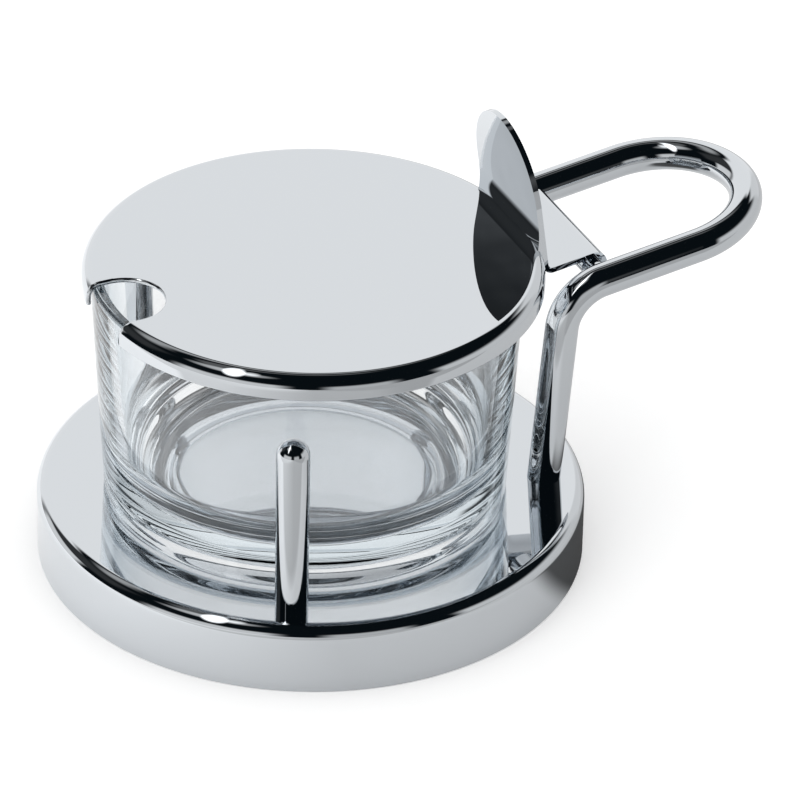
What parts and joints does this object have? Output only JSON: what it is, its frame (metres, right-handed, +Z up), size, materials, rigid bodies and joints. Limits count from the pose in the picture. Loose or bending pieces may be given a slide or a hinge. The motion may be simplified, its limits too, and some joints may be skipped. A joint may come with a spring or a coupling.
{
  "type": "grated cheese server",
  "caption": "Glass jar on a round polished steel base, kept between guide pins and a bent wire handle, under a hinged flat lid with a spoon notch and an upright thumb plate",
  "frame": {"origin": "on the table, under the middle of the round base", "axes": "+Z up, +X from the jar along the handle, +Y to the left when looking along the handle"},
  "size_m": [0.1449, 0.105, 0.0846],
  "materials": {
    "polished_steel": "stainless steel, mirror polished",
    "base_lining": "stainless steel, fine turned",
    "clear_glass": "clear pressed glass, gloss"
  },
  "bodies": {
    "stand": {"base_shell": "polished_steel", "base_plate": "base_lining", "jar": "clear_glass", "handle_wire": "polished_steel", "guide_pin_right": "polished_steel", "guide_pin_left": "polished_steel", "hinge_pin": "polished_steel"},
    "cover": {"lid": "polished_steel", "thumb_plate": "polished_steel"}
  },
  "joints": [
    {"name": "lid_hinge", "type": "hinge", "parent": "stand", "child": "cover", "pos_m": [0.05257, 0, 0.056], "axis": [0, 1, 0], "range_deg": [0, 135]}
  ]
}
